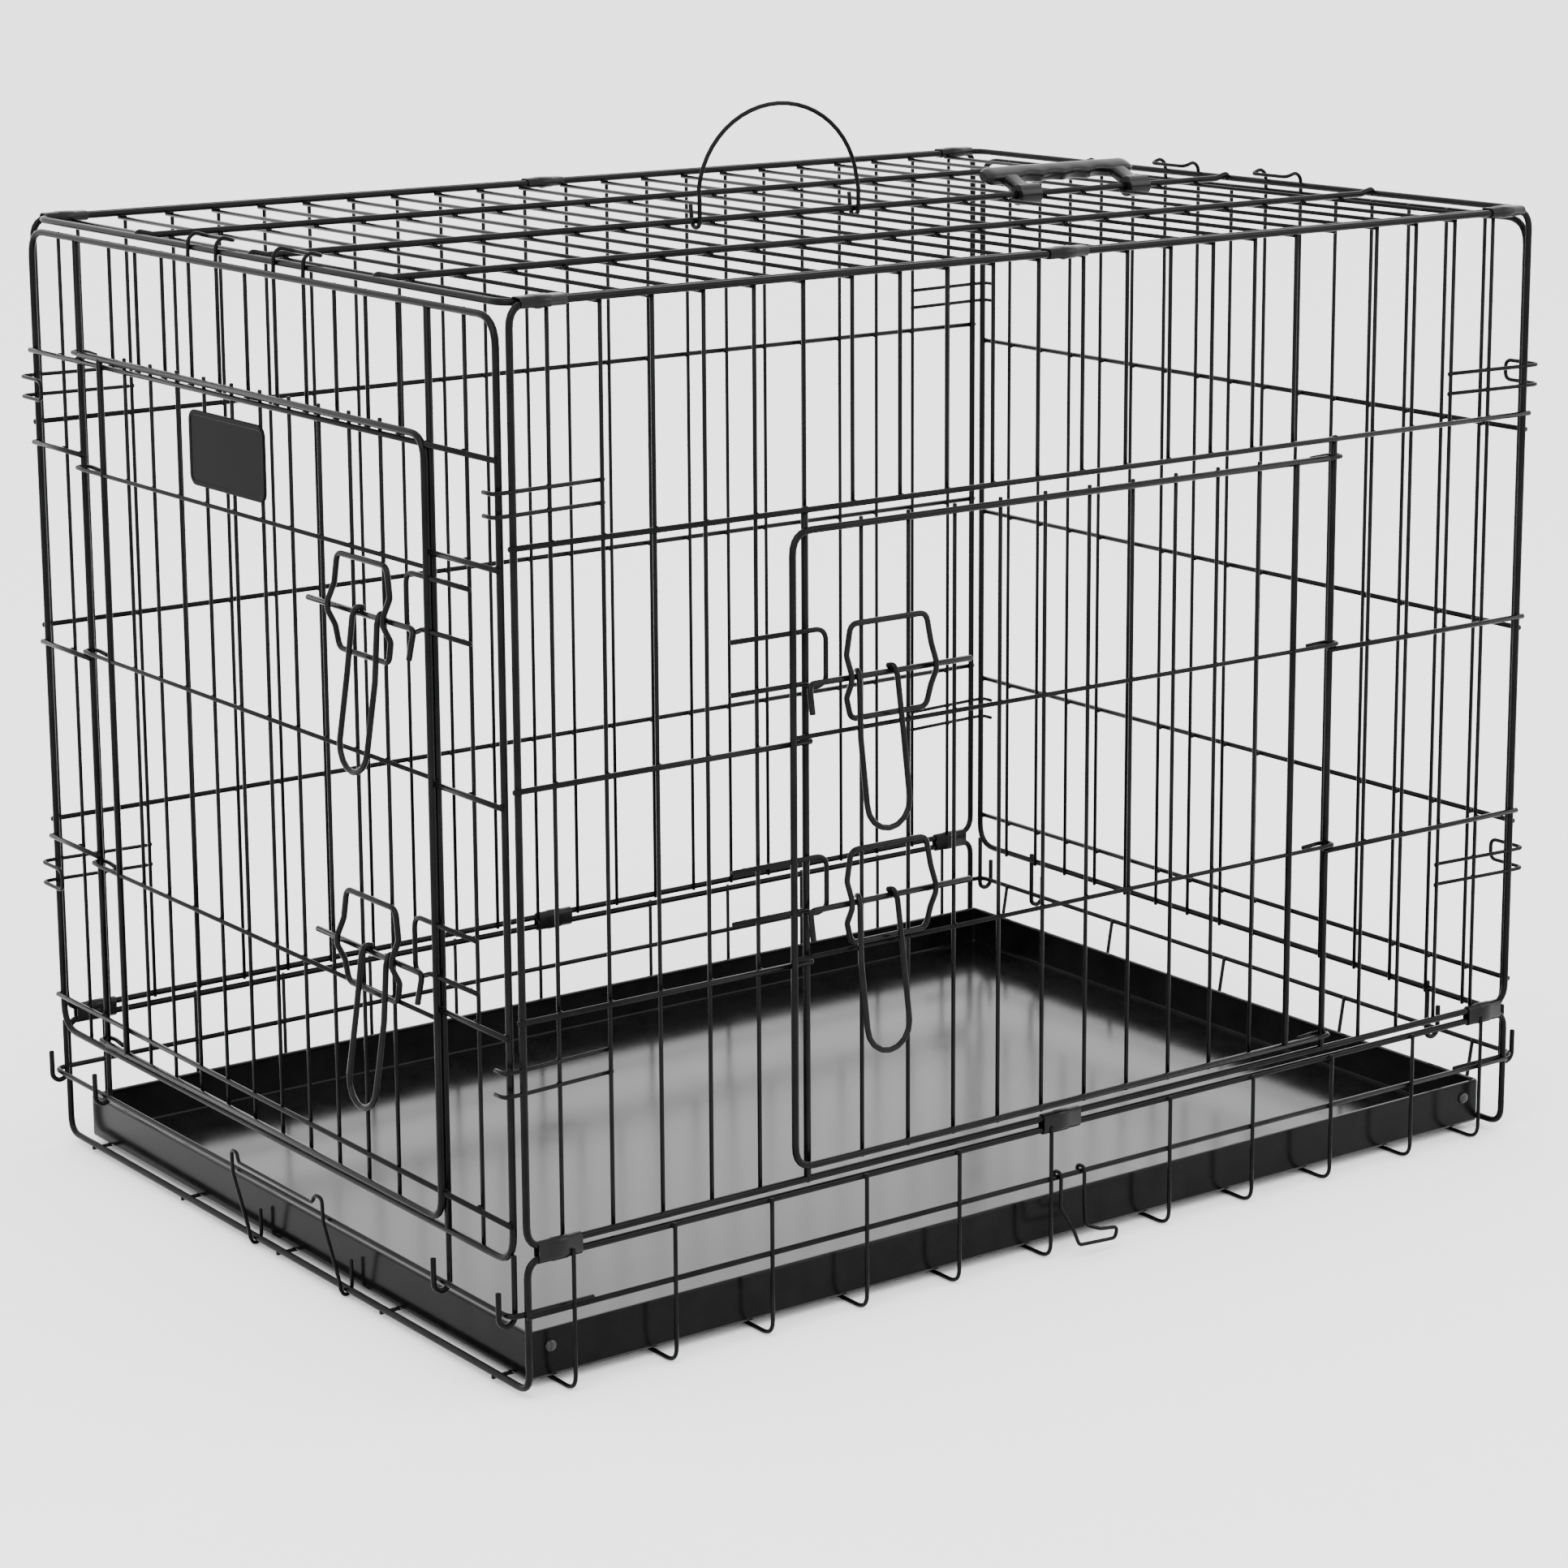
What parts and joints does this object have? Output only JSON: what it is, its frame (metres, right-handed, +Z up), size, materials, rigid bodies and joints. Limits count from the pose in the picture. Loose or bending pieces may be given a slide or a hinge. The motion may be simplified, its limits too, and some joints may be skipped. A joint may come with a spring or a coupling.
{
  "type": "wire dog crate",
  "caption": "Folding wire dog crate with hinged front and side doors, slide bolts, fold-in end panels, base tray and two top handles.",
  "frame": {"origin": "on the floor, under the middle of the bounding box of the whole crate with its latches", "axes": "+X from the front end panel (with the front door) to the rear end panel, +Y from the side-door side to the far side, +Z up"},
  "size_m": [0.9647, 0.7007, 0.8089],
  "materials": {
    "wire_enamel": "black electrostatic enamel on wire, satin gloss",
    "latch_wire": "black enamel on bent wire, slightly glossier",
    "clip_steel": "black enamelled sheet clips, gloss",
    "rivet_steel": "black enamelled rivet heads",
    "tray_enamel": "glossy black enamelled sheet pan",
    "grip_plastic": "moulded black plastic, fine texture",
    "badge_enamel": "black enamelled blank plate"
  },
  "bodies": {
    "root": {"base_frame": "wire_enamel", "near_side_panel": "wire_enamel", "far_side_panel": "wire_enamel", "top_panel": "wire_enamel", "tray": "tray_enamel", "tray_rivet_near_front": "rivet_steel", "tray_rivet_near_rear": "rivet_steel", "tray_rivet_far_front": "rivet_steel", "tray_rivet_far_rear": "rivet_steel", "clip_near_bottom_front": "clip_steel", "clip_near_bottom_middle": "clip_steel", "clip_near_bottom_rear": "clip_steel", "clip_near_top_front": "clip_steel", "clip_near_top_middle": "clip_steel", "clip_near_top_rear": "clip_steel", "clip_far_bottom_front": "clip_steel", "clip_far_bottom_middle": "clip_steel", "clip_far_bottom_rear": "clip_steel", "clip_far_top_front": "clip_steel", "clip_far_top_middle": "clip_steel", "clip_far_top_rear": "clip_steel", "side_lower_keeper": "wire_enamel", "side_upper_keeper": "wire_enamel"},
    "front_panel": {"front_end_panel": "wire_enamel", "front_lower_keeper": "wire_enamel", "front_upper_keeper": "wire_enamel"},
    "rear_panel": {"rear_end_panel": "wire_enamel"},
    "front_door": {"front_door": "wire_enamel", "front_lower_guide": "latch_wire", "front_upper_guide": "latch_wire", "badge_plate": "badge_enamel"},
    "side_door": {"side_door": "wire_enamel", "side_lower_guide": "latch_wire", "side_upper_guide": "latch_wire"},
    "front_upper_bolt": {"front_upper_bolt": "latch_wire"},
    "front_lower_bolt": {"front_lower_bolt": "latch_wire"},
    "side_upper_bolt": {"side_upper_bolt": "latch_wire"},
    "side_lower_bolt": {"side_lower_bolt": "latch_wire"},
    "wire_bail": {"wire_bail_handle": "wire_enamel"},
    "carry_handle": {"carry_handle": "grip_plastic"},
    "tray_stop": {"tray_stop": "wire_enamel"},
    "closure_hook": {"closure_hook": "wire_enamel"}
  },
  "joints": [
    {"name": "front_panel_fold", "type": "hinge", "parent": "root", "child": "front_panel", "pos_m": [-0.4565, 0.014, 0.061], "axis": [0, 1, 0], "range_deg": [0, 90]},
    {"name": "rear_panel_fold", "type": "hinge", "parent": "root", "child": "rear_panel", "pos_m": [0.4735, 0.014, 0.061], "axis": [0, 1, 0], "range_deg": [-87, 0]},
    {"name": "front_door_hinge", "type": "hinge", "parent": "front_panel", "child": "front_door", "pos_m": [-0.4495, 0.265, 0.367], "axis": [0, 0, 1], "range_deg": [-150, 0]},
    {"name": "side_door_hinge", "type": "hinge", "parent": "root", "child": "side_door", "pos_m": [0.2645, -0.3175, 0.337], "axis": [0, 0, 1], "range_deg": [0, 150]},
    {"name": "front_upper_bolt_slide", "type": "slide", "parent": "front_door", "child": "front_upper_bolt", "axis": [0, 1, 0], "range_m": [0, 0.018]},
    {"name": "front_lower_bolt_slide", "type": "slide", "parent": "front_door", "child": "front_lower_bolt", "axis": [0, 1, 0], "range_m": [0, 0.018]},
    {"name": "side_upper_bolt_slide", "type": "slide", "parent": "side_door", "child": "side_upper_bolt", "axis": [1, 0, 0], "range_m": [0, 0.018]},
    {"name": "side_lower_bolt_slide", "type": "slide", "parent": "side_door", "child": "side_lower_bolt", "axis": [1, 0, 0], "range_m": [0, 0.018]},
    {"name": "wire_bail_swing", "type": "hinge", "parent": "root", "child": "wire_bail", "pos_m": [0.004, 0.014, 0.724], "axis": [1, 0, 0], "range_deg": [-80, 80]},
    {"name": "carry_handle_swing", "type": "hinge", "parent": "root", "child": "carry_handle", "pos_m": [0.3035, 0.014, 0.724], "axis": [1, 0, 0], "range_deg": [-10, 130]},
    {"name": "tray_stop_drop", "type": "hinge", "parent": "root", "child": "tray_stop", "pos_m": [-0.444, -0.015, 0.0068], "axis": [0, 1, 0], "range_deg": [-78, 0]},
    {"name": "closure_hook_swing", "type": "hinge", "parent": "root", "child": "closure_hook", "pos_m": [0.0165, -0.319, 0.06], "axis": [-1, 0, 0], "range_deg": [0, 140]}
  ]
}
